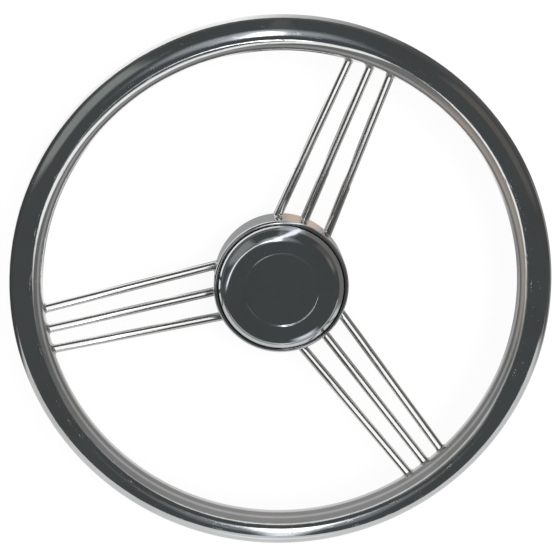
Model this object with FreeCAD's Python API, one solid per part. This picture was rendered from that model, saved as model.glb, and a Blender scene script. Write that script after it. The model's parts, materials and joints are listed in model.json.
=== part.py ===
import FreeCAD, Part

import math
import os

from FreeCAD import Placement, Rotation, Vector

# Stainless steering wheel for a boat. A ring of polished tube stands on nine straight rods,
# three groups of three, welded to a deep hub cup. The cup carries the turned boss for the
# helm shaft and is closed by a push-in cap.
#
# Millimetres. Z is the shaft axis and points at the driver. The origin is the centre of the
# boss's back face, which the wheel stands on. One group of rods points along +Y.

# Rim: tube bent to a ring, its ends butt welded and the weld polished away.
rim_outer_dia = 350.0
rim_tube_dia = 22.0
rim_tube_wall = 1.5
rim_above_cup = 11.5          # centre plane of the tube above the cup's front edge

# Rods: straight and solid, coped to the wall of the cup and to the inside of the ring.
rod_dia = 6.0
rod_groups = ("top", "left", "right")    # evenly spaced and anticlockwise, the first along +Y
rod_spread_at_cup = 17.7      # outer rods from the middle one, where they leave the cup
rod_spread_at_rim = 13.3      # and where they reach the centre line of the tube
rod_height_on_cup = 12.5      # axis at the wall, above the cup's back face
rod_weld_leg = 1.3

# Hub cup: deep drawn, open towards the driver.
cup_dia = 89.0
cup_depth = 32.5
cup_wall = 2.5
cup_corner_inside = 1.5
cup_lip_round = 2.1
cup_lip_break = 0.3

# Boss: turned, put through the floor of the cup from behind and welded inside.
shaft_dia = 19.05             # 3/4 in helm shaft, at the large end of its taper
taper_length = 12.0           # length in which the bore narrows by one
boss_length = 28.5
boss_head_dia = 38.0
boss_head_length = 8.0        # what stands out behind the cup
boss_neck_dia = 34.0
boss_chamfer = 1.0
boss_fit = 0.1                # neck to the hole in the floor, on the radius
boss_weld_leg = 2.5
key_width = 4.76              # 3/16 in square key
key_depth = 2.2               # into the wall of the bore at its large end

# Cap: pressed from sheet, with a rolled groove for its O-ring.
cap_sheet = 1.0
cap_gap = 0.3                 # skirt to cup, on the radius
cap_shoulder_round = 12.0
cap_shoulder_slope = 66.0     # degrees, where the shoulder runs into the skirt
cap_edge_below_lip = 0.2
cap_skirt_bend = 1.6
cap_skirt_length = 11.0
cap_recess_dia = 50.0
cap_recess_depth = 0.6
cap_recess_step = 1.6         # width of the soft step round the recess

# O-ring: lies in the groove and grips the wall of the cup.
ring_section = 2.4
ring_gap = 0.05
ring_below_lip = 6.0
groove_bend_inside = 0.2

rim_radius = (rim_outer_dia - rim_tube_dia) / 2
tube_radius = rim_tube_dia / 2
rod_radius = rod_dia / 2
cup_radius = cup_dia / 2
cup_bore = cup_radius - cup_wall
cup_back = boss_head_length
cup_floor = cup_back + cup_wall
cup_front = cup_back + cup_depth
rim_height = cup_front + rim_above_cup
neck_radius = boss_neck_dia / 2
ring_height = cup_front - ring_below_lip

shaft_axis = Vector(0, 0, 1)
centre = Vector(0, 0, 0)


def at(radius, height):
    """A point of a turned or pressed profile."""
    return Vector(radius, 0, height)


def swing(pivot, radius, start, end):
    """An arc about a pivot, as three points. Angles are radians from straight up, outwards."""
    def point(angle):
        return pivot + at(math.sin(angle), math.cos(angle)) * radius
    return point(start), point((start + end) / 2), point(end)


def round_off(corner, before, after, radius):
    """The arc that rounds a corner, as three points."""
    back = (before - corner).normalize()
    ahead = (after - corner).normalize()
    half = back.getAngle(ahead) / 2
    inward = (back + ahead).normalize()
    reach = radius / math.tan(half)
    middle = corner + inward * (radius / math.sin(half) - radius)
    return corner + back * reach, middle, corner + ahead * reach


def flipped(outline):
    """The same stretch of outline, run from its end to its start."""
    return [step if isinstance(step, Vector) else step[::-1] for step in reversed(outline)]


def turned(outline):
    """The solid that a closed outline of points and arcs sweeps about the shaft axis."""
    edges = []
    ends = [(step, step) if isinstance(step, Vector) else (step[0], step[2]) for step in outline]
    for index, step in enumerate(outline):
        if not isinstance(step, Vector):
            edges.append(Part.Arc(*step).toShape())
        leave = ends[index][1]
        reach = ends[(index + 1) % len(ends)][0]
        if leave.distanceToPoint(reach) > 1e-6:
            edges.append(Part.LineSegment(leave, reach).toShape())
    return Part.Face(Part.Wire(edges)).revolve(centre, shaft_axis, 360)


def rim_skin():
    """Everything inside the outer surface of the ring, which the rods are coped to."""
    return Part.makeTorus(rim_radius, tube_radius, Vector(0, 0, rim_height), shaft_axis)


def cup_skin():
    """Everything inside the outer wall of the cup, which the rods are coped to."""
    return Part.makeCylinder(cup_radius, cup_depth, Vector(0, 0, cup_back), shaft_axis)


def make_rim():
    inside = tube_radius - rim_tube_wall
    return rim_skin().cut(Part.makeTorus(rim_radius, inside, Vector(0, 0, rim_height), shaft_axis))


def rod_seats(side):
    """Where a rod of the group along +Y meets the cup's wall and the tube's centre line."""
    foot_x = side * rod_spread_at_cup
    head_x = side * rod_spread_at_rim
    foot_y = math.sqrt(cup_radius ** 2 - foot_x ** 2)
    head_y = math.sqrt(rim_radius ** 2 - head_x ** 2)
    return Vector(foot_x, foot_y, cup_back + rod_height_on_cup), Vector(head_x, head_y, rim_height)


def make_bar(side):
    """A rod before its ends are coped, from inside the cup's wall to the tube's centre line."""
    foot, head = rod_seats(side)
    way = (head - foot).normalize()
    start = foot - way * rod_dia
    closing_turn = 30             # where the bar's round surface closes, clear of the seams' ends
    bar = Part.makeCylinder(rod_radius, start.distanceToPoint(head))
    bar.rotate(centre, shaft_axis, closing_turn)
    bar.Placement = Placement(start, Rotation(shaft_axis, way)) * bar.Placement
    return bar


def make_rod(side):
    return make_bar(side).cut(cup_skin()).cut(rim_skin()).Solids[0]


def make_rod_weld(side, skin, seat):
    """The fillet of weld round one end of a rod, as a solid of its own."""
    joined = make_bar(side).fuse(skin)
    seam = [edge for edge in joined.Edges
            if all(point.distanceToPoint(seat) < rod_dia for point in edge.discretize(12))]
    return joined.makeFillet(rod_weld_leg, seam).cut(joined).Solids[0]


def make_cup():
    lip = min(cup_lip_round, cup_wall - cup_lip_break)
    hole = neck_radius + boss_fit
    hole_back, wall_back = at(hole, cup_back), at(cup_radius, cup_back)
    wall_front, bore_front = at(cup_radius, cup_front), at(cup_bore, cup_front)
    bore_back, hole_front = at(cup_bore, cup_floor), at(hole, cup_floor)
    return turned([
        hole_back,
        round_off(wall_back, hole_back, wall_front, cup_corner_inside + cup_wall),
        round_off(wall_front, wall_back, bore_front, lip),
        round_off(bore_front, wall_front, bore_back, cup_lip_break),
        round_off(bore_back, bore_front, hole_front, cup_corner_inside),
        hole_front,
    ])


def make_boss():
    head = boss_head_dia / 2
    mouth = shaft_dia / 2
    blank = turned([
        at(mouth, 0),
        at(head - boss_chamfer, 0),
        at(head, boss_chamfer),
        at(head, cup_back),
        at(neck_radius, cup_back),
        at(neck_radius, boss_length - boss_chamfer),
        at(neck_radius - boss_chamfer, boss_length),
        at(mouth - boss_length / taper_length / 2, boss_length),
    ])
    keyway = Part.makeBox(key_width, mouth + key_depth, boss_length, Vector(-key_width / 2, 0, 0))
    return blank.cut(keyway)


def make_boss_weld():
    """The ring of weld between the boss's neck and the floor of the cup, slightly crowned."""
    foot = at(neck_radius + boss_weld_leg, cup_floor)
    top = at(neck_radius, cup_floor + boss_weld_leg)
    crown = (foot + top) / 2 + at(1, 1) * (boss_weld_leg / 10)
    return turned([at(neck_radius, cup_floor), (foot, crown, top)])


def skirt_side(inset):
    """The cap's skirt with its groove, down from the bend. Inset is the depth in the sheet."""
    skirt = cup_bore - cap_gap
    groove = cup_bore - ring_section - 2 * ring_gap
    half = ring_section / 2 + ring_gap
    mouth_round = groove_bend_inside + cap_sheet
    floor_round = 0.9 * min(skirt - groove - mouth_round, half)
    top, bottom = ring_height + half + inset, ring_height - half - inset
    skirt_top = at(skirt - inset, cup_front)
    skirt_end = at(skirt - inset, cup_front - cap_skirt_length)
    mouth_top, mouth_bottom = at(skirt - inset, top), at(skirt - inset, bottom)
    floor_top, floor_bottom = at(groove - inset, top), at(groove - inset, bottom)
    return [
        round_off(mouth_top, skirt_top, floor_top, mouth_round - inset),
        round_off(floor_top, mouth_top, floor_bottom, floor_round + inset),
        round_off(floor_bottom, floor_top, mouth_bottom, floor_round + inset),
        round_off(mouth_bottom, floor_bottom, skirt_end, mouth_round - inset),
        skirt_end,
    ]


def make_cap():
    slope = math.radians(cap_shoulder_slope)
    upright = math.radians(90)
    crown = cup_front - cap_edge_below_lip + cap_shoulder_round * (1 - math.cos(slope))
    dish = crown - cap_recess_depth
    bend_reach = cap_shoulder_round - cap_skirt_bend
    shoulder_start = cup_bore - cap_gap - cap_skirt_bend - bend_reach * math.sin(slope)
    shoulder_pivot = at(shoulder_start, crown - cap_shoulder_round)
    bend_pivot = shoulder_pivot + at(math.sin(slope), math.cos(slope)) * bend_reach

    # The step round the recess is two equal arcs, one hollow and one crowned.
    step_out = cap_recess_dia / 2
    step_in = step_out - cap_recess_step
    step_round = (cap_recess_step ** 2 + cap_recess_depth ** 2) / (4 * cap_recess_depth)
    step_slope = math.asin(cap_recess_step / 2 / step_round)
    hollow = swing(at(step_in, dish + step_round), step_round, 2 * upright, 2 * upright - step_slope)
    crowned = swing(at(step_out, crown - step_round), step_round, -step_slope, 0)
    knee = step_round * math.tan(step_slope / 2)
    shift = cap_sheet * math.tan(step_slope / 2)

    outside = [
        at(0, dish), hollow, crowned,
        swing(shoulder_pivot, cap_shoulder_round, 0, slope),
        swing(bend_pivot, cap_skirt_bend, slope, upright),
    ] + skirt_side(0)
    inside = [
        at(0, dish - cap_sheet),
        at(step_in + knee + shift, dish - cap_sheet),
        at(step_out - knee + shift, crown - cap_sheet),
        swing(shoulder_pivot, cap_shoulder_round - cap_sheet, 0, slope),
        swing(bend_pivot, cap_skirt_bend - cap_sheet, slope, upright),
    ] + skirt_side(cap_sheet)
    return turned(outside + flipped(inside))


def make_cap_ring():
    middle = cup_bore - ring_gap - ring_section / 2
    return Part.makeTorus(middle, ring_section / 2, Vector(0, 0, ring_height), shaft_axis)


def swung(shape, index):
    """A copy of what was made on +Y, turned about the shaft axis to another group."""
    copy = shape.copy()
    copy.rotate(centre, shaft_axis, 360 / len(rod_groups) * index)
    return copy


def save(name, shape):
    shape.exportStep("parts/" + name + ".step")
    print(f"{name:16s} {len(shape.Solids)} solid(s), {shape.Volume / 1000:.3f} cm3, valid {shape.isValid()}")


os.makedirs("parts", exist_ok=True)

save("rim_tube", make_rim())
rods = []
rim_beads = []
cup_beads = []
for side in (-1, 0, 1):
    foot, head = rod_seats(side)
    inner_face = head - (head - foot).normalize() * tube_radius
    rods.append(make_rod(side))
    rim_beads.append(make_rod_weld(side, rim_skin(), inner_face))
    cup_beads.append(make_rod_weld(side, cup_skin(), foot))
for index, group in enumerate(rod_groups):
    for number, rod in enumerate(rods, start=1):
        save(f"{group}_spoke_{number}", swung(rod, index))
    save(f"{group}_rim_welds", swung(Part.makeCompound(rim_beads), index))
    save(f"{group}_cup_welds", swung(Part.makeCompound(cup_beads), index))
save("hub_cup", make_cup())
save("hub_boss", make_boss())
save("boss_weld", make_boss_weld())
save("centre_cap", make_cap())
save("cap_o_ring", make_cap_ring())
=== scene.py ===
import json
import math
import time

import bpy
import numpy as np
from mathutils import Matrix, Vector

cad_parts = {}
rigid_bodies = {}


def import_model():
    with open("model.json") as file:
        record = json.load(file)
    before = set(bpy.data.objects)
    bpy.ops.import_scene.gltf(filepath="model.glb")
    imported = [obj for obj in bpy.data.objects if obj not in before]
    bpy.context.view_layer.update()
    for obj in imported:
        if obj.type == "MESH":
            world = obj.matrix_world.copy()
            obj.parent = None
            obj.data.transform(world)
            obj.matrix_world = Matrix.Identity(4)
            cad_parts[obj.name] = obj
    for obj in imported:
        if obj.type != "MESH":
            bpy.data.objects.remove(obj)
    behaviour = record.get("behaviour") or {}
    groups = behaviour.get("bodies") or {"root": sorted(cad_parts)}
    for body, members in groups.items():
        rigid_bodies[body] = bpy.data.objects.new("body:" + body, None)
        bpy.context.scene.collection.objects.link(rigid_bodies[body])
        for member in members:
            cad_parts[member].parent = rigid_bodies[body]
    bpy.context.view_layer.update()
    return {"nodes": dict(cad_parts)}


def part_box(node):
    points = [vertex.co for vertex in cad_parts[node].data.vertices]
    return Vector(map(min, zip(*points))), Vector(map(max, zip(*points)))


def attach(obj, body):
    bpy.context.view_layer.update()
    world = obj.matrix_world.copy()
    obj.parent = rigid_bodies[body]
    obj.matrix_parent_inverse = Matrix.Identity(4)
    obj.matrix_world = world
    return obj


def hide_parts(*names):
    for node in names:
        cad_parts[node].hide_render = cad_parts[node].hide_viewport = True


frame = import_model()
started = time.time()


def report(stage):
    print(f"[wheel] {stage} after {time.time() - started:.1f} s")


# Everything is in metres. Z is the shaft axis and points at the driver, the boss's back face is at
# Z = 0, and one group of rods points along +Y.
rimLow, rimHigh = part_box("rim_tube")
cupLow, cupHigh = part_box("hub_cup")
scene = bpy.context.scene


# Shader maths: a socket that can be added, multiplied and so on, each time by one Math node.
class Signal:
    def __init__(self, shader, socket):
        self.shader = shader
        self.socket = socket

    def maths(self, operation, *others):
        values = dict(enumerate((self, *others)))
        return self.shader.add("ShaderNodeMath", {"operation": operation}, values)

    def __add__(self, other):
        return self.maths("ADD", other)

    def __radd__(self, other):
        return self.maths("ADD", other)

    def __sub__(self, other):
        return self.maths("SUBTRACT", other)

    def __rsub__(self, other):
        return self.maths("MULTIPLY_ADD", -1.0, other)

    def __mul__(self, other):
        return self.maths("MULTIPLY", other)

    def __rmul__(self, other):
        return self.maths("MULTIPLY", other)

    def __truediv__(self, other):
        return self.maths("DIVIDE", other)

    def __pow__(self, other):
        return self.maths("POWER", other)

    def __abs__(self):
        return self.maths("ABSOLUTE")

    def rise(self, start, end):    # 0 below start, 1 above end and smooth between them
        settings = {"interpolation_type": "SMOOTHSTEP"}
        values = {"Value": self, "From Min": start, "From Max": end}
        return self.shader.add("ShaderNodeMapRange", settings, values)

    def inside(self, low, high, edge):    # 1 between low and high, with soft edges
        return self.rise(low - edge, low + edge) * (1 - self.rise(high - edge, high + edge))

    def atLeast(self, other):    # the larger of the two
        return self.maths("MAXIMUM", other)


# One node tree. add() makes a node from its type, its settings and what its sockets hold.
class Shader:
    def __init__(self, tree):
        self.tree = tree
        self.tree.nodes.clear()

    def add(self, kind, settings, values, output=0):
        node = self.tree.nodes.new(kind)
        for name, value in settings.items():
            if name == "stops":
                self.setStops(node.color_ramp, value)
            else:
                setattr(node, name, value)
        for name, value in values.items():
            if isinstance(value, Signal):
                self.tree.links.new(value.socket, node.inputs[name])
            else:
                node.inputs[name].default_value = value
        return Signal(self, node.outputs[output])

    def setStops(self, ramp, stops):
        while len(ramp.elements) < len(stops):
            ramp.elements.new(1.0)
        for element, (place, level) in zip(ramp.elements, stops):
            element.position = place
            element.color = (level, level, level, 1)

    def also(self, signal, output):    # another output of a node that is there already
        return Signal(self, signal.socket.node.outputs[output])

    def mix(self, share, first, second):    # colours, from the first at 0 to the second at 1
        return self.add("ShaderNodeMix", {"data_type": "RGBA"}, {0: share, 6: first, 7: second}, 2)

    def noise(self, vector, scale, detail=3.0, rough=0.5, fourth=None):
        settings = {"noise_dimensions": "3D" if fourth is None else "4D"}
        values = {"Vector": vector, "Scale": scale, "Detail": detail, "Roughness": rough}
        if fourth is not None:
            values["W"] = fourth
        return self.add("ShaderNodeTexNoise", settings, values)

    def show(self, surface, kind="ShaderNodeOutputMaterial"):    # the tree's last node
        self.tree.links.new(surface.socket, self.tree.nodes.new(kind).inputs["Surface"])


def newMaterial(name):
    material = bpy.data.materials.new(name)
    material.use_nodes = True
    return material, Shader(material.node_tree)


# Polished stainless steel: clouds of slightly duller metal, fine buffing lines and a low waviness.
# Each look says how far its lines run. Round the axis they follow the turning: the noise reads the
# cosine and sine of a point's angle, its distance from the axis and its height, slow in the first
# two and fast in the others. Otherwise they lie as fine specks.
steelLooks = {
    "rimSteel": {
        "lineSlow": 16.0, "lineFast": 800.0,
        "colour": (0.76, 0.765, 0.76, 1), "dullColour": (0.66, 0.65, 0.63, 1),
        "rough": 0.05, "cloudRough": 0.04, "lineRough": 0.3,
        "cloudScale": 26.0, "gritScale": 1500.0, "waveScale": 90.0,
        "lineDepth": 0.032, "gritDepth": 0.006, "waveDepth": 0.03, "bump": 0.6,
    },
    "rodSteel": {
        "lineSlow": None, "lineFast": 900.0,
        "colour": (0.8, 0.79, 0.775, 1), "dullColour": (0.72, 0.705, 0.68, 1),
        "rough": 0.13, "cloudRough": 0.04, "lineRough": 0.02,
        "cloudScale": 60.0, "gritScale": 3000.0, "waveScale": 60.0,
        "lineDepth": 0.001, "gritDepth": 0.0005, "waveDepth": 0.004, "bump": 0.3,
    },
    "cupSteel": {
        "lineSlow": 4.0, "lineFast": 3000.0,
        "colour": (0.75, 0.75, 0.74, 1), "dullColour": (0.64, 0.63, 0.61, 1),
        "rough": 0.08, "cloudRough": 0.04, "lineRough": 0.035,
        "cloudScale": 45.0, "gritScale": 3000.0, "waveScale": 90.0,
        "lineDepth": 0.004, "gritDepth": 0.002, "waveDepth": 0.02, "bump": 0.5,
    },
    "capSteel": {
        "lineSlow": 3.0, "lineFast": 3400.0,
        "colour": (0.71, 0.725, 0.735, 1), "dullColour": (0.62, 0.635, 0.645, 1),
        "rough": 0.07, "cloudRough": 0.035, "lineRough": 0.03,
        "cloudScale": 38.0, "gritScale": 3000.0, "waveScale": 60.0,
        "lineDepth": 0.003, "gritDepth": 0.002, "waveDepth": 0.02, "bump": 0.5,
    },
    "bossSteel": {
        "lineSlow": 1.0, "lineFast": 5200.0,
        "colour": (0.66, 0.66, 0.65, 1), "dullColour": (0.56, 0.55, 0.53, 1),
        "rough": 0.26, "cloudRough": 0.05, "lineRough": 0.08,
        "cloudScale": 60.0, "gritScale": 3000.0, "waveScale": 90.0,
        "lineDepth": 0.02, "gritDepth": 0.003, "waveDepth": 0.01, "bump": 0.6,
    },
    "weldSteel": {
        "lineSlow": None, "lineFast": 1400.0,
        "colour": (0.69, 0.68, 0.665, 1), "dullColour": (0.55, 0.53, 0.5, 1),
        "rough": 0.16, "cloudRough": 0.07, "lineRough": 0.05,
        "cloudScale": 220.0, "gritScale": 3500.0, "waveScale": 420.0,
        "lineDepth": 0.01, "gritDepth": 0.004, "waveDepth": 0.05, "bump": 0.6,
    },
}

# What all the looks share: where the noise turns into duller clouds and into marks along the lines, how
# far each takes the colour to the dull one, how deep a relief of 1 is, and what keeps a distance from
# the axis above zero.
polish = {
    "cloudRange": (0.42, 0.72),
    "markRange": (0.56, 0.72),
    "cloudShare": 0.6,
    "markShare": 0.4,
    "bumpDistance": 0.001,
    "offAxis": 1e-8,
}


def steelMaterial(name, look):
    material, shader = newMaterial(name)
    place = shader.add("ShaderNodeTexCoord", {}, {}, "Object")
    if look["lineSlow"] is None:
        lines = shader.noise(place, look["lineFast"], rough=0.65)
    else:
        x = shader.add("ShaderNodeSeparateXYZ", {}, {0: place})
        y, z = shader.also(x, 1), shader.also(x, 2)
        distance = (x * x + y * y + polish["offAxis"]) ** 0.5
        turning = shader.add("ShaderNodeCombineXYZ", {}, {
            0: x / distance * look["lineSlow"],
            1: y / distance * look["lineSlow"],
            2: distance * look["lineFast"],
        })
        lines = shader.noise(turning, 1.0, rough=0.65, fourth=z * look["lineFast"])
    dull = shader.noise(place, look["cloudScale"], detail=4.0, rough=0.6).rise(*polish["cloudRange"])
    grit = shader.noise(place, look["gritScale"], detail=2.0, rough=0.7)
    waves = shader.noise(place, look["waveScale"], detail=1.0, rough=0.4)
    marks = lines.rise(*polish["markRange"])
    worn = dull * polish["cloudShare"] + marks * polish["markShare"]
    relief = lines * look["lineDepth"] + grit * look["gritDepth"] + waves * look["waveDepth"]
    bump = {"Strength": look["bump"], "Distance": polish["bumpDistance"], "Height": relief}
    steel = shader.add("ShaderNodeBsdfPrincipled", {}, {
        "Base Color": shader.mix(worn, look["colour"], look["dullColour"]),
        "Metallic": 1.0,
        "Roughness": dull * look["cloudRough"] + marks * look["lineRough"] + look["rough"],
        "Normal": shader.add("ShaderNodeBump", {}, bump),
    })
    shader.show(steel)
    return material


# The cap's ring: black rubber with a grayish bloom in clouds and a fine grain.
ringRubber = {
    "colour": (0.016, 0.016, 0.017, 1),
    "bloomColour": (0.034, 0.034, 0.036, 1),
    "bloomScale": 160.0,
    "bloomRange": (0.4, 0.75),
    "rough": 0.5,
    "bloomRough": 0.2,
    "grainScale": 2400.0,
    "grainDepth": 0.03,
    "bump": 0.5,
}


def rubberMaterial():
    look = ringRubber
    material, shader = newMaterial("ringRubber")
    place = shader.add("ShaderNodeTexCoord", {}, {}, "Object")
    bloom = shader.noise(place, look["bloomScale"], detail=4.0, rough=0.6)
    relief = shader.noise(place, look["grainScale"], detail=2.0, rough=0.6) * look["grainDepth"]
    bump = {"Strength": look["bump"], "Distance": polish["bumpDistance"], "Height": relief}
    rubber = shader.add("ShaderNodeBsdfPrincipled", {}, {
        "Base Color": shader.mix(bloom.rise(*look["bloomRange"]), look["colour"], look["bloomColour"]),
        "Roughness": bloom * look["bloomRough"] + look["rough"],
        "Normal": shader.add("ShaderNodeBump", {}, bump),
    })
    shader.show(rubber)
    return material


finishes = {name: steelMaterial(name, look) for name, look in steelLooks.items()}
finishes["ringRubber"] = rubberMaterial()
report("finishes made")


def newObject(name, data):
    thing = bpy.data.objects.new(name, data)
    scene.collection.objects.link(thing)
    return thing


# A mesh from points, four-cornered and three-cornered faces, and the true normal at each face's
# corners. Faces that come out turned inwards are turned round, and normals are put on their side.
def makePiece(name, points, groups, finish, slot, nodes):
    volume = 0
    for faces, _ in groups:
        corners = points[faces]
        for k in range(1, faces.shape[1] - 1):
            volume += np.einsum("ij,ij->", corners[:, 0], np.cross(corners[:, k], corners[:, k + 1]))
    indices, normals, sizes = [], [], []
    for faces, cornerNormals in groups:
        if volume < 0:
            faces, cornerNormals = faces[:, ::-1], cornerNormals[:, ::-1]
        corners = points[faces]
        facing = np.cross(corners[:, 1] - corners[:, 0], corners[:, -1] - corners[:, 0])
        side = np.where(np.einsum("ij,ikj->i", facing, cornerNormals) < 0, -1.0, 1.0)
        indices.append(faces.ravel())
        normals.append((cornerNormals * side[:, None, None]).reshape(-1, 3))
        sizes.append(np.full(len(faces), faces.shape[1]))
    indices, sizes = np.concatenate(indices).astype(np.int32), np.concatenate(sizes)
    mesh = bpy.data.meshes.new(name)
    mesh.vertices.add(len(points))
    mesh.vertices.foreach_set("co", points.astype(np.float32).ravel())
    mesh.loops.add(len(indices))
    mesh.loops.foreach_set("vertex_index", indices)
    mesh.polygons.add(len(sizes))
    mesh.polygons.foreach_set("loop_start", (np.cumsum(sizes) - sizes).astype(np.int32))
    mesh.update(calc_edges=True)
    mesh.shade_smooth()
    mesh.normals_split_custom_set(np.concatenate(normals).astype(np.float32))
    mesh.materials.append(finishes[finish])
    piece = newObject(name, mesh)
    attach(piece, "root")
    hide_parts(*nodes)
    return piece


# A skin stretched over loops of points, each loop closed on itself. Every band between two loops has
# its own normals at its two edges, so an edge can be sharp. The skin closes from the last loop to the
# first, or it ends in a pole, given as a point and its normal, before the first loop and after the last.
def makeBands(name, loops, bandNormals, poles, *rest):
    count, around = loops.shape[:2]
    points = loops.reshape(-1, 3)
    here = np.arange(around)
    ahead = (here + 1) % around
    first = np.arange(len(bandNormals))[:, None] * around
    second = (np.arange(len(bandNormals))[:, None] + 1) % count * around
    quads = np.stack([first + here, second + here, second + ahead, first + ahead], -1).reshape(-1, 4)
    low, high = bandNormals[:, 0], bandNormals[:, 1]
    quadNormals = np.stack([low, high, high[:, ahead], low[:, ahead]], 2).reshape(-1, 4, 3)
    groups = [(quads, quadNormals)]
    if poles:
        (startPoint, startNormal), (endPoint, endNormal) = poles
        points = np.concatenate([points, [startPoint, endPoint]])
        last = (count - 1) * around
        startFan = np.stack([np.full(around, count * around), here, ahead], -1)
        endFan = np.stack([np.full(around, count * around + 1), last + ahead, last + here], -1)
        groups.append((startFan, np.tile(startNormal, (around, 3, 1)).astype(float)))
        groups.append((endFan, np.tile(endNormal, (around, 3, 1)).astype(float)))
    return makePiece(name, points, groups, *rest)


rimTube = {
    "tubeRadius": (rimHigh.z - rimLow.z) / 2,
    "outerRadius": rimHigh.x,
    "height": (rimHigh.z + rimLow.z) / 2,
    "aroundRing": 640,
    "aroundTube": 80,
}
ringRadius = rimTube["outerRadius"] - rimTube["tubeRadius"]


# Torus: a point at angle u round the ring and v round the tube is the ring's centre line plus the
# tube's radius times the outward direction, which is cos v away from the axis and sin v up.
def makeRim():
    u = np.linspace(0, 2 * np.pi, rimTube["aroundRing"], endpoint=False)
    v = np.linspace(0, 2 * np.pi, rimTube["aroundTube"], endpoint=False)
    u, v = np.meshgrid(u, v, indexing="ij")
    outward = np.stack([np.cos(v) * np.cos(u), np.cos(v) * np.sin(u), np.sin(v)], -1)
    line = np.stack([np.cos(u), np.sin(u), np.zeros_like(u)], -1) * ringRadius
    loops = line + outward * rimTube["tubeRadius"] + [0, 0, rimTube["height"]]
    bandNormals = np.stack([outward, np.roll(outward, -1, axis=0)], 1)
    makeBands("rimTube", loops, bandNormals, None, "rimSteel", "polished_steel", ["rim_tube"])


makeRim()
report("rim made")

hubCup = {
    "wall": 0.0025,
    "hole": 0.0171,
    "cornerRound": 0.004,
    "insideRound": 0.0015,
    "lipRound": 0.0021,
    "lipBreak": 0.0003,
    "cornerSteps": 14,
    "lipSteps": 16,
    "lipBreakSteps": 5,
    "insideSteps": 8,
    "segments": 288,
}
cupRadius, cupBack, cupFront = cupHigh.x, cupLow.z, cupHigh.z
cupBore = cupRadius - hubCup["wall"]
touching = 1e-7


# Profiles are steps in the plane of distance from the axis and height. Each step is short and
# straight, and is given as its two ends and the true normals there.
def straight(start, end):
    way = np.subtract(end, start)
    normal = (way[1], -way[0]) / np.linalg.norm(way)
    return [(start, end, normal, normal)]


# An arc about a pivot, with angles in degrees anticlockwise from the outward direction.
def curved(pivot, radius, start, end, count):
    angles = np.radians(np.linspace(start, end, count + 1))
    directions = np.stack([np.cos(angles), np.sin(angles)], -1)
    points = np.add(pivot, directions * radius)
    return [(points[i], points[i + 1], directions[i], directions[i + 1]) for i in range(count)]


# Stretches of profile one after the other, with a straight step across each gap between them.
def joined(stretches, closed=False):
    steps = []
    for index, stretch in enumerate(stretches):
        steps += stretch
        if closed or index + 1 < len(stretches):
            leave, reach = stretch[-1][1], stretches[(index + 1) % len(stretches)][0][0]
            if np.hypot(*np.subtract(leave, reach)) > touching:
                steps += straight(leave, reach)
    return steps


def backwards(steps):
    return [(end, start, endNormal, startNormal) for start, end, startNormal, endNormal in reversed(steps)]


# Lathe: each end of a profile's steps becomes a loop, which is the point turned about the axis to
# (distance times cos, distance times sin, height), and normals turn in the same way.
def makeTurned(name, steps, segments, *rest):
    angles = np.linspace(0, 2 * np.pi, segments, endpoint=False)

    def turned(pairs):
        pairs = np.asarray(pairs, float)
        heights = np.repeat(pairs[:, 1:2], segments, 1)
        return np.stack([pairs[:, :1] * np.cos(angles), pairs[:, :1] * np.sin(angles), heights], -1)

    starts, ends, startNormals, endNormals = (np.array(column, float) for column in zip(*steps))
    if starts[0][0] > touching:
        bandNormals = np.stack([turned(startNormals), turned(endNormals)], 1)
        return makeBands(name, turned(starts), bandNormals, None, *rest)
    bandNormals = np.stack([turned(startNormals[1:-1]), turned(endNormals[1:-1])], 1)
    poles = [((0, 0, point[1]), (0, 0, normal[1])) for point, normal in
             ((starts[0], startNormals[0]), (ends[-1], endNormals[-1]))]
    return makeBands(name, turned(ends[:-1]), bandNormals, poles, *rest)


# Cup, drawn from sheet: floor, back corner, outer wall, lip, bore and inside corner.
def cupProfile():
    corner, inside = hubCup["cornerRound"], hubCup["insideRound"]
    lip, edge = hubCup["lipRound"], hubCup["lipBreak"]
    hole, floor = hubCup["hole"], cupBack + hubCup["wall"]
    return joined([
        straight((hole, floor), (hole, cupBack)),
        curved((cupRadius - corner, cupBack + corner), corner, -90, 0, hubCup["cornerSteps"]),
        curved((cupRadius - lip, cupFront - lip), lip, 0, 90, hubCup["lipSteps"]),
        curved((cupBore + edge, cupFront - edge), edge, 90, 180, hubCup["lipBreakSteps"]),
        curved((cupBore - inside, floor + inside), inside, 0, -90, hubCup["insideSteps"]),
    ], closed=True)


makeTurned("hubCup", cupProfile(), hubCup["segments"], "cupSteel", "polished_steel", ["hub_cup"])
report("cup made")

centreCap = {
    "sheet": 0.001,
    "gap": 0.0003,
    "shoulderRound": 0.012,
    "shoulderSlope": 66.0,
    "edgeBelowLip": 0.0002,
    "skirtBend": 0.0016,
    "skirtLength": 0.011,
    "recessRadius": 0.025,
    "recessDepth": 0.0006,
    "recessStep": 0.0016,
    "ringSection": 0.0024,
    "ringGap": 0.00005,
    "ringBelowLip": 0.006,
    "grooveBend": 0.0002,
    "grooveRounding": 0.9,
    "grooveSteps": 6,
    "recessSteps": 8,
    "shoulderSteps": 36,
    "bendSteps": 6,
    "backShoulderSteps": 18,
    "backBendSteps": 4,
    "segments": 288,
}


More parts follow.
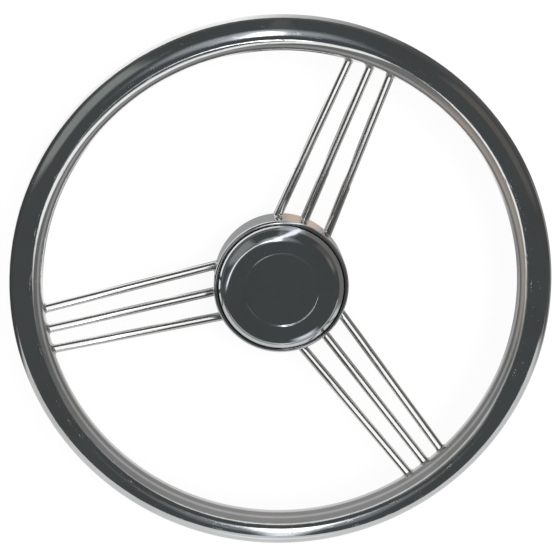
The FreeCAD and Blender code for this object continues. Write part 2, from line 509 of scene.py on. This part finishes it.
# The cap's skirt with its rolled groove, down from the bend. Inset is the depth in the sheet.
def skirtProfile(inset):
    cap = centreCap
    skirt = cupBore - cap["gap"] - inset
    groove = cupBore - cap["ringSection"] - 2 * cap["ringGap"] - inset
    half = cap["ringSection"] / 2 + cap["ringGap"]
    middle = cupFront - cap["ringBelowLip"]
    top, bottom = middle + half + inset, middle - half - inset
    mouth = cap["grooveBend"] + cap["sheet"]
    floor = cap["grooveRounding"] * min(skirt - groove - mouth, half) + inset
    mouth -= inset
    count = cap["grooveSteps"]
    return [
        curved((skirt - mouth, top + mouth), mouth, 0, -90, count),
        curved((groove + floor, top - floor), floor, 90, 180, count),
        curved((groove + floor, bottom + floor), floor, 180, 270, count),
        curved((skirt - mouth, bottom - mouth), mouth, 90, 0, count),
    ], (skirt, cupFront - cap["skirtLength"])


# Cap, pressed from sheet: dish, soft step of two equal arcs, flat, shoulder, bend and skirt, and the
# same inside the sheet, where the step stays a straight slope.
def capProfile():
    cap = centreCap
    sheet, slope, bulge = cap["sheet"], cap["shoulderSlope"], cap["shoulderRound"]
    sine, cosine = math.sin(math.radians(slope)), math.cos(math.radians(slope))
    crown = cupFront - cap["edgeBelowLip"] + bulge * (1 - cosine)
    dish = crown - cap["recessDepth"]
    bendReach = bulge - cap["skirtBend"]
    shoulder = (cupBore - cap["gap"] - cap["skirtBend"] - bendReach * sine, crown - bulge)
    bend = (shoulder[0] + bendReach * sine, shoulder[1] + bendReach * cosine)
    stepOut = cap["recessRadius"]
    stepIn = stepOut - cap["recessStep"]
    stepRound = (cap["recessStep"] ** 2 + cap["recessDepth"] ** 2) / (4 * cap["recessDepth"])
    stepSlope = math.asin(cap["recessStep"] / 2 / stepRound)
    stepAngle = math.degrees(stepSlope)
    knee = stepRound * math.tan(stepSlope / 2)
    shift = sheet * math.tan(stepSlope / 2)
    outsideSkirt, outsideEnd = skirtProfile(0)
    insideSkirt, insideEnd = skirtProfile(sheet)
    face = joined([
        straight((0, dish), (stepIn / 2, dish)),
        curved((stepIn, dish + stepRound), stepRound, 270, 270 + stepAngle, cap["recessSteps"]),
        curved((stepOut, crown - stepRound), stepRound, 90 + stepAngle, 90, cap["recessSteps"]),
        curved(shoulder, bulge, 90, 90 - slope, cap["shoulderSteps"]),
        curved(bend, cap["skirtBend"], 90 - slope, 0, cap["bendSteps"]),
        *outsideSkirt,
    ])
    back = joined([
        straight((0, dish - sheet), (stepIn + knee + shift, dish - sheet)),
        straight((stepIn + knee + shift, dish - sheet), (stepOut - knee + shift, crown - sheet)),
        curved(shoulder, bulge - sheet, 90, 90 - slope, cap["backShoulderSteps"]),
        curved(bend, cap["skirtBend"] - sheet, 90 - slope, 0, cap["backBendSteps"]),
        *insideSkirt,
    ])
    face += straight(face[-1][1], outsideEnd)
    back += straight(back[-1][1], insideEnd)
    return face + straight(outsideEnd, insideEnd) + backwards(back)


makeTurned("centreCap", capProfile(), centreCap["segments"], "capSteel", "pressed_steel", ["centre_cap"])
report("cap made")

rods = {
    "groups": {"top": 90.0, "left": 210.0, "right": 330.0},
    "radius": 0.003,
    "spreadAtCup": 0.0177,
    "spreadAtRim": 0.0133,
    "heightOnCup": 0.0125,
    "around": 64,
    "along": 24,
    "capRings": 5,
    "halvings": 40,
}


def turnedAbout(points, degrees):
    sine, cosine = math.sin(math.radians(degrees)), math.cos(math.radians(degrees))
    return points @ np.array([[cosine, sine, 0], [-sine, cosine, 0], [0, 0, 1]])


# The line of a rod in the group along +Y: where it starts on the cup's wall and where it ends on
# the tube's centre line, with its direction and two directions square to it.
def rodLine(side):
    footX, headX = side * rods["spreadAtCup"], side * rods["spreadAtRim"]
    foot = np.array([footX, math.sqrt(cupRadius ** 2 - footX ** 2), cupBack + rods["heightOnCup"]])
    head = np.array([headX, math.sqrt(ringRadius ** 2 - headX ** 2), rimTube["height"]])
    way = (head - foot) / np.linalg.norm(head - foot)
    across = np.cross(way, [0, 0, 1])
    across /= np.linalg.norm(across)
    return foot, head, way, across, np.cross(across, way)


# How far along the rod's direction a point beside its axis meets the cup's wall: the larger root of
# (distance from the shaft axis) squared = (cup's radius) squared.
def meetsCup(points, way):
    a = way[0] ** 2 + way[1] ** 2
    b = points[..., 0] * way[0] + points[..., 1] * way[1]
    c = points[..., 0] ** 2 + points[..., 1] ** 2 - cupRadius ** 2
    return (-b + np.sqrt(b * b - a * c)) / a


# The same for the rim: the way is halved again and again between a place outside the tube and one in it.
def meetsRim(points, way, reach):
    near, far = np.full(points.shape[:-1], reach * 0.5), np.full(points.shape[:-1], reach)
    for _ in range(rods["halvings"]):
        middle = (near + far) / 2
        at = points + middle[..., None] * way
        fromLine = np.hypot(np.hypot(at[..., 0], at[..., 1]) - ringRadius, at[..., 2] - rimTube["height"])
        within = fromLine < rimTube["tubeRadius"]
        near, far = np.where(within, near, middle), np.where(within, middle, far)
    return (near + far) / 2


# Rod: at angle a and station s it is the axis point plus radius times (cos a across + sin a up), moved
# along the axis from where that line meets the cup to where it meets the rim. Its ends are coped: each
# is a set of ever smaller circles, carried along the axis to the same wall.
def makeRod(name, node, side, turn):
    foot, head, way, across, up = rodLine(side)
    angles = np.linspace(0, 2 * np.pi, rods["around"], endpoint=False)[:, None]
    outward = np.cos(angles) * across + np.sin(angles) * up
    reach = np.linalg.norm(head - foot)
    shares = np.linspace(0, 1, rods["capRings"] + 1)[1:]
    circles = foot + outward * (rods["radius"] * shares[:, None, None])
    cupEnd = circles + meetsCup(circles, way)[..., None] * way
    rimEnd = circles + meetsRim(circles, way, reach)[..., None] * way
    stations = np.linspace(0, 1, rods["along"] + 1)[1:-1, None, None]
    middle = cupEnd[-1] + (rimEnd[-1] - cupEnd[-1]) * stations
    loops = np.concatenate([cupEnd, middle, rimEnd[::-1]])
    ends = len(shares) - 1
    bandNormals = np.empty((len(loops) - 1, 2, rods["around"], 3))
    bandNormals[:ends] = -way
    bandNormals[ends:-ends] = outward
    bandNormals[-ends:] = way
    poles = [(foot + meetsCup(foot, way) * way, -way), (foot + meetsRim(foot, way, reach) * way, way)]
    loops, bandNormals = turnedAbout(loops, turn), turnedAbout(bandNormals, turn)
    poles = [(turnedAbout(point, turn), turnedAbout(normal, turn)) for point, normal in poles]
    makeBands(name, loops, bandNormals, poles, "rodSteel", "polished_steel", [node])


for group, angle in rods["groups"].items():
    for number, side in enumerate((-1, 0, 1), start=1):
        makeRod(f"{group}Rod{number}", f"{group}_spoke_{number}", side, angle - 90)
report("rods made")

# What stays as it was built, with its finish.
builtFinishes = {"hub_boss": "bossSteel", "boss_weld": "weldSteel", "cap_o_ring": "ringRubber"}
for group in rods["groups"]:
    for place in ("rim", "cup"):
        builtFinishes[f"{group}_{place}_welds"] = "weldSteel"
for node, finish in builtFinishes.items():
    mesh = frame["nodes"][node].data
    mesh.materials.clear()
    mesh.materials.append(finishes[finish])

# Light: a dark studio with bright walls and cards, which the polished metal shows. Places are given in
# the picture's frame, with X to its right, Y up and Z from the rim's plane: azimuth anticlockwise from
# the picture's right, elevation up from the wheel's plane. Levels are what a mirror of the wheel's own
# steel would show, divided by its colour. A span is a low and a high end with the softness of both, and
# an edge is where a change starts and ends.
studio = {
    "pictureTurn": 21.0,
    "room": (0.068, 0.074, 0.075, 1),
    "ambient": (0.62, 0.62, 0.62, 1),
    "panels": [
        {"around": (128, 166, 5), "height": (10, 60, 9), "colour": (0.25, 0.27, 0.26, 1)},
        {"around": (6, 40, 5), "height": (8, 46, 6), "colour": (0.12, 0.115, 0.105, 1)},
    ],
    "stripe": (0.1, 0.106, 0.11, 1),
    "stripePlace": 0.03,
    "stripeWidth": (0.02, 0.05),
    "stripeAlong": (0.3, 0.5),
    "stripeAbove": (-0.05, 0.1),
    "wall": (0.68, 0.71, 0.72, 1),
    "wallAround": (200, 336, 1.8),
    "wallTop": [(0, 16), (200, -4), (203, 2), (212, 9), (240, 24), (258, 36), (266, 42),
                (272, 40), (281, 31), (290, 23), (300, 19), (333, 17), (340, 10), (360, 10)],
    "wallEdge": (-1.5, 2.5),
    "wallGlow": (1.05, 1.06, 1.05, 1),
    "glowPlace": (270, 14),
    "glowSize": (14, 8),
}


def pictureAxes(shader, place):    # x, y and z in the picture's frame, and the azimuth in degrees
    turned = shader.add("ShaderNodeVectorRotate", {"rotation_type": "Z_AXIS"}, {
        "Vector": place,
        "Angle": -math.radians(studio["pictureTurn"]),
    })
    x = shader.add("ShaderNodeSeparateXYZ", {}, {0: turned})
    y, z = shader.also(x, 1), shader.also(x, 2)
    return x, y, z, (y * -1).maths("ARCTAN2", x * -1) * (180 / math.pi) + 180


# A value that goes straight from stop to stop round the wheel. A stop is degrees and a value, and all
# values lie between low and high.
def aroundRamp(shader, azimuth, stops, low, high):
    levels = [(place / 360, (value - low) / (high - low)) for place, value in stops]
    return shader.add("ShaderNodeValToRGB", {"stops": levels}, {0: azimuth / 360}) * (high - low) + low


def patchwork(first, second, patches):    # soft patches, each a span in both values and a share
    covers = [first.inside(*one) * second.inside(*other) * share for one, other, share in patches]
    total = covers[0]
    for cover in covers[1:]:
        total = total.atLeast(cover)
    return total


def makeStudio():
    world = bpy.data.worlds.new("studio")
    world.use_nodes = True
    world.cycles.sampling_method = "NONE"    # each kind of ray finds its own sky
    scene.world = world
    shader = Shader(world.node_tree)
    x, y, z, azimuth = pictureAxes(shader, shader.add("ShaderNodeTexCoord", {}, {}, "Generated"))
    height = z.maths("ARCSINE") * (180 / math.pi)
    glow = studio["room"]
    for panel in studio["panels"]:
        share = azimuth.inside(*panel["around"]) * height.inside(*panel["height"])
        glow = shader.mix(share, glow, panel["colour"])
    stripe = 1 - abs(x - studio["stripePlace"]).rise(*studio["stripeWidth"])
    stripe = stripe * y.rise(*studio["stripeAlong"]) * z.rise(*studio["stripeAbove"])
    glow = shader.mix(stripe, glow, studio["stripe"])
    wallTop = aroundRamp(shader, azimuth, studio["wallTop"], -90, 90)
    wall = azimuth.inside(*studio["wallAround"]) * (wallTop - height).rise(*studio["wallEdge"])
    aside, above = ((value - place) / size for value, place, size in
                    zip((azimuth, height), studio["glowPlace"], studio["glowSize"]))
    bright = 1 - aside ** 2 - above ** 2
    glow = shader.mix(wall, glow, shader.mix(bright, studio["wall"], studio["wallGlow"]))
    rays = shader.add("ShaderNodeLightPath", {}, {}, "Is Camera Ray")
    sky = shader.mix(shader.also(rays, "Is Glossy Ray"), studio["ambient"], glow)
    sky = shader.mix(rays, sky, (1, 1, 1, 1))
    shader.show(shader.add("ShaderNodeBackground", {}, {"Color": sky}), "ShaderNodeOutputWorld")


makeStudio()


def plainMesh(name, points, faces, material):
    mesh = bpy.data.meshes.new(name)
    mesh.from_pydata(points, [], faces)
    mesh.materials.append(material)
    return mesh


def square(size, height):
    half = size / 2
    return [(side * half, end * half, height) for side, end in ((-1, -1), (1, -1), (1, 1), (-1, 1))]


# A card that only the polished metal sees: it glows where it covers, and is clear elsewhere.
def makeCard(name, points, faces, shader, material, colour, cover):
    clear = shader.add("ShaderNodeBsdfTransparent", {}, {})
    light = shader.add("ShaderNodeEmission", {}, {"Color": colour})
    shader.show(shader.add("ShaderNodeMixShader", {}, {0: cover, 1: clear, 2: light}))
    material.cycles.emission_sampling = "NONE"
    card = newObject(name, plainMesh(name, points, faces, material))
    card.location.z = rimTube["height"]
    card.visible_camera = card.visible_diffuse = False
    card.visible_transmission = card.visible_shadow = False


# The drum stands round the wheel's middle. From outside it is gray up to its top, lighter by the rim's
# plane and warm on one side, with a bright line between two heights, and it is clear to a steep ray.
# From inside it has a bright band about one height, two faint spots, a dark screen, and gray and shade
# below the rim's plane.
drum = {
    "radius": 0.078,
    "low": -0.05,
    "high": 0.2,
    "segments": 72,
    "gray": [(0, 0.16), (60, 0.2), (90, 0.13), (120, 0.14), (163, 0.17), (213, 0.15), (237, 0.24),
             (272, 0.31), (300, 0.27), (330, 0.16), (360, 0.16)],
    "top": [(0, 0.086), (13, 0.105), (30, 0.13), (46, 0.17), (68, 0.11), (88, 0.07), (107, 0.055),
            (126, 0.058), (145, 0.066), (163, 0.09), (182, 0.115), (198, 0.085), (213, 0.075), (237, 0.1),
            (249, 0.11), (261, 0.15), (284, 0.12), (307, 0.12), (319, 0.08), (346, 0.066), (360, 0.086)],
    "topEdge": (-0.015, 0.01),
    "planePlace": 0.004,
    "planeWidth": (0.004, 0.022),
    "planeLevel": 0.18,
    "warm": (0.42, 0.365, 0.315, 1),
    "warmShare": [(0, 0.7), (30, 0.7), (50, 0), (330, 0), (345, 0.6), (360, 0.7)],
    "warmHeight": (-0.02, 0.05, 0.02),
    "line": (1.06, 1.08, 1.06, 1),
    "lineShare": [(0, 1), (185, 1), (198, 0.35), (212, 0.15), (225, 0.1), (245, 0.3), (262, 0.75),
                  (290, 0.75), (315, 0.35), (335, 0.2), (346, 0.6), (356, 1), (360, 1)],
    "lineLow": [(0, 0.048), (13, 0.06), (30, 0.075), (46, 0.12), (68, 0.061), (88, 0.035), (107, 0.02),
                (126, 0.019), (145, 0.025), (163, 0.037), (182, 0.06), (198, 0.066), (240, 0.09),
                (272, 0.095), (300, 0.09), (320, 0.055), (346, 0.032), (360, 0.048)],
    "lineHigh": [(0, 0.08), (13, 0.1), (30, 0.125), (46, 0.165), (68, 0.1), (88, 0.062), (107, 0.048),
                 (126, 0.052), (145, 0.06), (163, 0.082), (182, 0.105), (198, 0.082), (240, 0.115),
                 (272, 0.17), (300, 0.14), (320, 0.08), (346, 0.046), (360, 0.08)],
    "lineLowEdge": (-0.006, 0.008),
    "lineHighEdge": (-0.01, 0.008),
    "steep": (0.42, 0.48),
    "band": (1.25, 1.31, 1.4, 1),
    "bandAround": (66, 188, 7),
    "bandHeight": [(0, -0.06), (60, -0.06), (68, -0.03), (73, 0.0), (78, 0.018), (90, 0.08), (97, 0.16),
                   (103, 0.165), (120, 0.14), (135, 0.118), (160, 0.068), (180, 0.038), (192, 0.018),
                   (204, -0.04), (360, -0.06)],
    "bandWidth": [(0, 0.02), (70, 0.025), (88, 0.05), (105, 0.05), (125, 0.03), (160, 0.018),
                  (192, 0.012), (360, 0.02)],
    "bandEdge": (0.3, 1),
    "haloEdge": (0.8, 2.6),
    "haloShare": 0.3,
    "glow": (3.6, 3.6, 3.6, 1),
    "glowAround": (92, 116, 8),
    "spots": [((284, 303, 7), (0.008, 0.032, 0.012), 0.7), ((8, 30, 8), (0.015, 0.04, 0.012), 0.3)],
    "screenAround": (206, 340, 6),
    "screenEdge": (-0.002, 0.01),
    "below": (0.2, 0.19, 0.18, 1),
    "belowBeside": (88, 335, 6),
    "belowEdge": (-0.004, 0.006),
    "shade": [((88, 200, 6), (-0.017, -0.002, 0.004), 0.8)],
}


def makeDrum():
    material, shader = newMaterial("drumGlow")
    _, _, z, azimuth = pictureAxes(shader, shader.add("ShaderNodeTexCoord", {}, {}, "Object"))

    def around(name, low=-0.1, high=0.4):
        return aroundRamp(shader, azimuth, drum[name], low, high)

    line = (z - around("lineLow")).rise(*drum["lineLowEdge"])
    line = line * (1 - (z - around("lineHigh")).rise(*drum["lineHighEdge"])) * around("lineShare", 0, 1)
    gray = 1 - (z - around("top")).rise(*drum["topEdge"])
    plane = 1 - abs(z - drum["planePlace"]).rise(*drum["planeWidth"])
    warm = around("warmShare", 0, 1) * z.inside(*drum["warmHeight"])
    outside = shader.mix(warm, around("gray") + plane * drum["planeLevel"], drum["warm"])
    outside = shader.mix(line, outside, drum["line"])
    steep = shader.add("ShaderNodeLayerWeight", {}, {"Blend": 0.5}, "Facing").rise(*drum["steep"])
    outsideCover = line.atLeast(gray) * (1 - steep)

    aside = abs(z - around("bandHeight")) / around("bandWidth")
    halo = drum["haloShare"] - aside.rise(*drum["haloEdge"]) * drum["haloShare"]
    band = (1 - aside.rise(*drum["bandEdge"])).atLeast(halo) * azimuth.inside(*drum["bandAround"])
    band = band.atLeast(patchwork(azimuth, z, drum["spots"]))
    screen = azimuth.inside(*drum["screenAround"]) * z.rise(*drum["screenEdge"])
    below = (1 - azimuth.inside(*drum["belowBeside"])) * (1 - z.rise(*drum["belowEdge"]))
    shade = patchwork(azimuth, z, drum["shade"])
    glow = shader.mix(azimuth.inside(*drum["glowAround"]), drum["band"], drum["glow"])
    inside = shader.mix(band, shader.mix(below, studio["room"], drum["below"]), glow)
    insideCover = band.atLeast(screen).atLeast(below + shade)

    back = shader.add("ShaderNodeNewGeometry", {}, {}, "Backfacing")
    colour = shader.mix(back, outside, inside)
    cover = outsideCover * (1 - back) + insideCover * back
    count = drum["segments"]
    turns = [2 * math.pi * index / count for index in range(count)]
    points = [(drum["radius"] * math.cos(turn), drum["radius"] * math.sin(turn), height)
              for height in (drum["low"], drum["high"]) for turn in turns]
    faces = [(index, (index + 1) % count, (index + 1) % count + count, index + count)
             for index in range(count)]
    makeCard("drumGlow", points, faces, shader, material, colour, cover)


makeDrum()

# The sheet lies overhead. It has soft patches for the highlights along the rim's upper and lower crest,
# each pair with a small bright core.
overhead = {
    "height": 0.3,
    "size": 1.6,
    "patch": (1.12, 1.2, 1.32, 1),
    "patches": [
        ((-0.045, 0.02, 0.035), (0.08, 0.26, 0.05), 0.6),
        ((-0.1, 0.06, 0.05), (0.1, 0.24, 0.05), 0.3),
        ((-0.008, 0.034, 0.02), (-0.5, -0.125, 0.02), 1.0),
        ((-0.05, 0.08, 0.04), (-0.3, -0.14, 0.03), 0.16),
    ],
    "core": (5.5, 5.5, 5.7, 1),
    "cores": [
        ((-0.016, 0.008, 0.01), (0.08, 0.2, 0.03), 1.0),
        ((0.002, 0.024, 0.012), (-0.26, -0.14, 0.03), 1.0),
    ],
}


def makeSheet():
    material, shader = newMaterial("sheetGlow")
    x, y, _, _ = pictureAxes(shader, shader.add("ShaderNodeTexCoord", {}, {}, "Object"))
    core = patchwork(x, y, overhead["cores"])
    colour = shader.mix(core, overhead["patch"], overhead["core"])
    cover = patchwork(x, y, overhead["patches"]).atLeast(core)
    points = square(overhead["size"], overhead["height"])
    makeCard("sheetGlow", points, [(0, 1, 2, 3)], shader, material, colour, cover)


makeSheet()

# The floor is white paper to the eye, with the wheel's soft shadow. In the metal it shows a glow of
# painted light and shade instead of its own shading: a painted shade of gray in the drum's middle, a level
# beneath the wheel with darker patches of painted shade by the rods, one round about from where that
# starts, and one beyond the paper's edge, each brighter or darker by azimuth.
floor = {
    "size": 6.0,
    "paper": (0.8, 0.8, 0.8, 1),
    "white": 1.08,
    "whiteShare": 0.8,
    "softness": (-0.008, 0.012),
    # painted shade: the gray the metal sees on the floor in the drum's middle, warm on one side
    "middle": (0.36, 0.37, 0.38, 1),
    "middleEdge": (0.07, 0.078),
    "warm": (0.62, 0.5, 0.42, 1),
    "warmAround": (50, 84, 6),
    # painted light and shade: the levels the metal sees on the floor beneath the wheel, bright on one side
    # and gray elsewhere
    "beneath": [(0, 0.3), (12, 0.4), (25, 1.15), (185, 1.15), (200, 0.6), (215, 0.3), (325, 0.3),
                (345, 0.45), (360, 0.3)],
    # painted shade: darker patches the metal sees on the floor by the rods
    "rodShade": (0.16, 0.17, 0.17, 1),
    "rodShadePatches": [
        ((72, 100, 6), (0.088, 0.126, 0.008), 1.0),
        ((150, 184, 6), (0.088, 0.126, 0.008), 0.7),
    ],
    "start": [(0, 0.12), (15, 0.16), (190, 0.16), (215, 0.108), (330, 0.108), (360, 0.12)],
    "around": [(0, 0.3), (15, 0.3), (22, 0.1), (60, 0.1), (85, 0.6), (100, 1.1), (190, 1.1), (200, 0.85),
               (205, 0.66), (270, 0.72), (335, 0.66), (345, 0.35), (360, 0.3)],
    "edge": [(0, 0.27), (90, 0.34), (127, 0.345), (150, 0.285), (165, 0.249), (185, 0.222), (200, 0.206),
             (210, 0.21), (360, 0.27)],
    "beyond": [(0, 0.07), (85, 0.1), (130, 0.1), (150, 0.06), (199, 0.06), (205, 0.66), (270, 0.72),
               (335, 0.66), (345, 0.1), (360, 0.07)],
}


def makeFloor():
    material, shader = newMaterial("floorPaper")
    x, y, _, azimuth = pictureAxes(shader, shader.add("ShaderNodeTexCoord", {}, {}, "Object"))
    distance = (x * x + y * y) ** 0.5
    beneath, start, around, edge, beyond = (aroundRamp(shader, azimuth, floor[name], 0, 1.5)
                                            for name in ("beneath", "start", "around", "edge", "beyond"))
    # painted shade by the rods, laid over the floor's glow that the metal sees
    beneath = shader.mix(patchwork(azimuth, distance, floor["rodShadePatches"]), beneath, floor["rodShade"])
    mirrored = shader.mix((distance - start).rise(*floor["softness"]), beneath, around)
    middle = shader.mix(azimuth.inside(*floor["warmAround"]), floor["middle"], floor["warm"])
    mirrored = shader.mix(distance.rise(*floor["middleEdge"]), middle, mirrored)
    mirrored = shader.mix((distance - edge).rise(*floor["softness"]), mirrored, beyond)
    rays = shader.add("ShaderNodeLightPath", {}, {}, "Is Camera Ray")
    paper = shader.add("ShaderNodeBsdfDiffuse", {}, {"Color": floor["paper"]})
    white = shader.add("ShaderNodeEmission", {}, {"Color": (1, 1, 1, 1), "Strength": floor["white"]})
    seen = shader.add("ShaderNodeMixShader", {}, {0: rays * floor["whiteShare"], 1: paper, 2: white})
    # the floor's painted light and shade, a glow that only glossy rays see
    shown = shader.add("ShaderNodeEmission", {}, {"Color": mirrored})
    glossy = shader.also(rays, "Is Glossy Ray")
    shader.show(shader.add("ShaderNodeMixShader", {}, {0: glossy, 1: seen, 2: shown}))
    material.cycles.emission_sampling = "NONE"
    mesh = plainMesh("floorPaper", square(floor["size"], 0), [(0, 1, 2, 3)], material)
    sheet = newObject("floorPaper", mesh)


makeFloor()

lamps = {
    "softLamp": {"place": (0.15, 0.35, 1.3), "size": 1.0, "watts": 9.0, "mirrored": False, "lit": None},
    "rodLamp": {"place": (0, 0, 1.0), "size": 1.4, "watts": 5.5, "mirrored": True, "lit": "Rod"},
}


# A lamp lights all pieces, or those alone whose names hold a word.
def makeLamp(name, settings):
    light = bpy.data.lights.new(name, "AREA")
    light.shape = "DISK"
    light.size = settings["size"]
    light.energy = settings["watts"]
    lamp = newObject(name, light)
    lamp.location = settings["place"]
    lamp.rotation_euler = Vector(settings["place"]).to_track_quat("Z", "Y").to_euler()
    lamp.visible_glossy = settings["mirrored"]
    if settings["lit"]:
        lit = bpy.data.collections.new(name)
        for piece in scene.objects:
            if piece.type == "MESH" and settings["lit"] in piece.name:
                lit.objects.link(piece)
        lamp.light_linking.receiver_collection = lit


for name, settings in lamps.items():
    makeLamp(name, settings)
report("studio made")

# Camera: it looks at the middle of the rim from in front of the hub. The tilt is from the shaft axis,
# towards an azimuth of the part, and pictureUp is the azimuth that points up in the picture.
camera = {
    "distance": 0.775,
    "tilt": 14.1,
    "towards": 118.6,
    "pictureUp": 111.0,
    "lens": 77.08,
    "sensor": 36,
    "shift": (-0.0034, 0.0214),
    "clip": (0.01, 50),
}


def makeCamera():
    tilt, towards, up = (math.radians(camera[name]) for name in ("tilt", "towards", "pictureUp"))
    back = Vector((math.sin(tilt) * math.cos(towards), math.sin(tilt) * math.sin(towards), math.cos(tilt)))
    right = (-back).cross(Vector((math.cos(up), math.sin(up), 0))).normalized()
    matrix = Matrix((right, back.cross(right), back)).transposed().to_4x4()
    matrix.translation = Vector((0, 0, rimTube["height"])) + back * camera["distance"]
    lens = bpy.data.cameras.new("camera")
    lens.lens = camera["lens"]
    lens.sensor_width = camera["sensor"]
    lens.shift_x, lens.shift_y = camera["shift"]
    lens.clip_start, lens.clip_end = camera["clip"]
    eye = newObject("camera", lens)
    eye.matrix_world = matrix
    scene.camera = eye


makeCamera()
scene.view_settings.view_transform = "Standard"
report("camera set")
